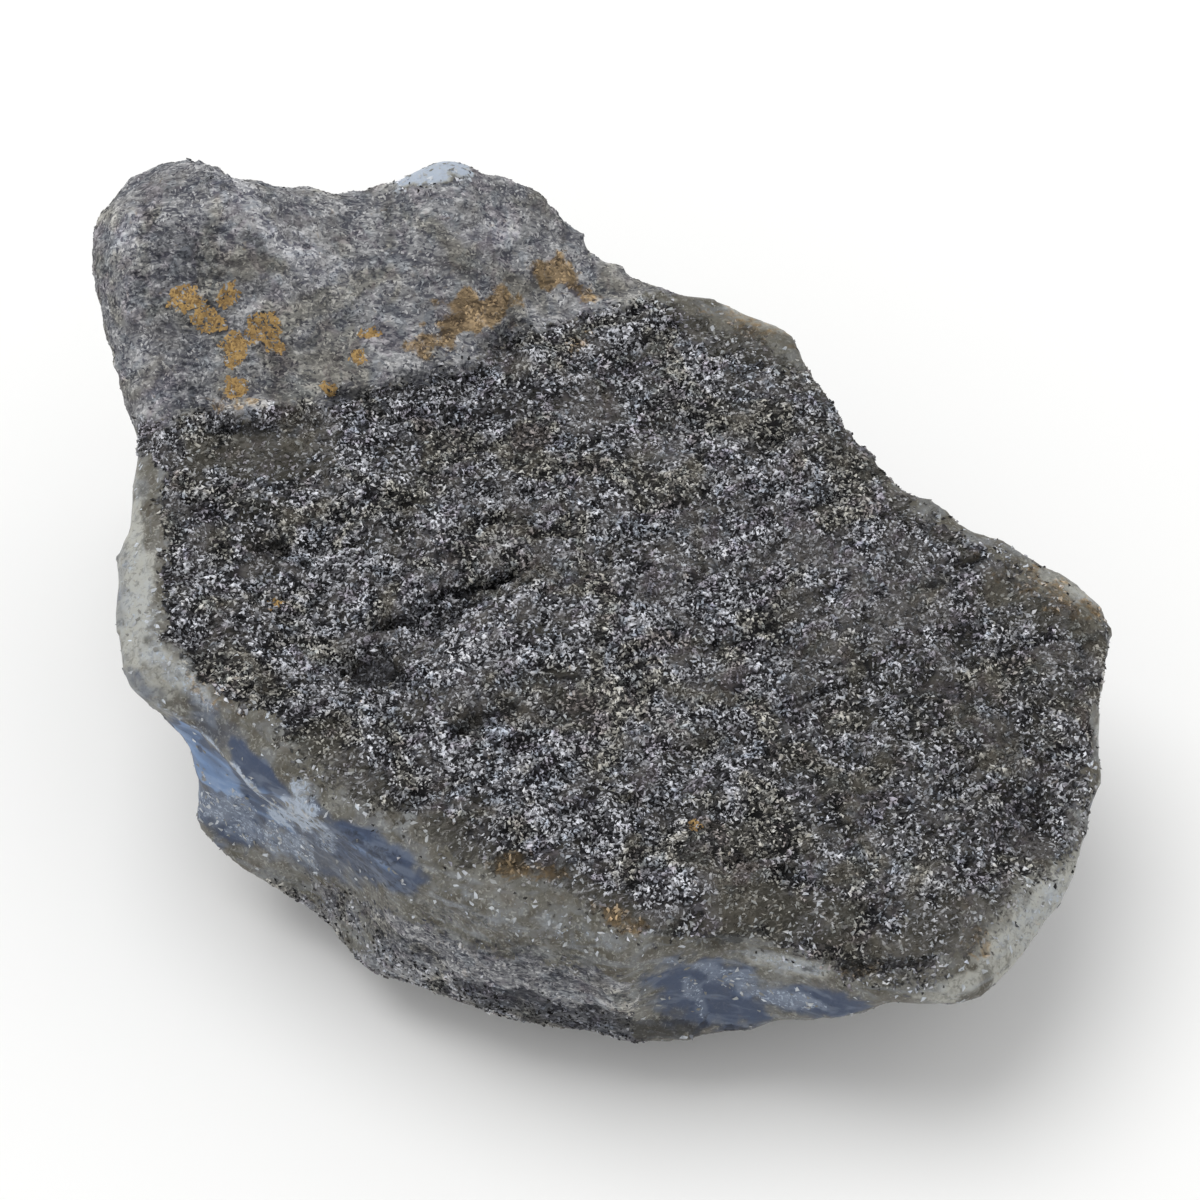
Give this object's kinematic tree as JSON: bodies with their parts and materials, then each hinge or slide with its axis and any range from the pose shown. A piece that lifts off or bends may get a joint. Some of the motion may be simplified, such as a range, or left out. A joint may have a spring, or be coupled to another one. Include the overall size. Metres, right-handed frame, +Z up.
{
  "type": "agate geode",
  "caption": "Broken chunk of agate nodule with a pitted granular crust on top, a raised weathered knob and blue-grey chalcedony flanks, lying on a small flat spot.",
  "frame": {"origin": "on the surface that the stone lies on, inside its flat spot and near the middle of the stone seen from above", "axes": "+Z up from the surface, +X along the stone's length towards its thin end, +Y away from the viewer towards the side with the knob"},
  "size_m": [0.1027, 0.0865, 0.0504],
  "materials": {
    "agate": "rough grey-brown silica crust on top, glossy blue-grey translucent chalcedony on the broken flanks"
  },
  "bodies": {
    "root": {"agate_stone": "agate"}
  },
  "joints": []
}
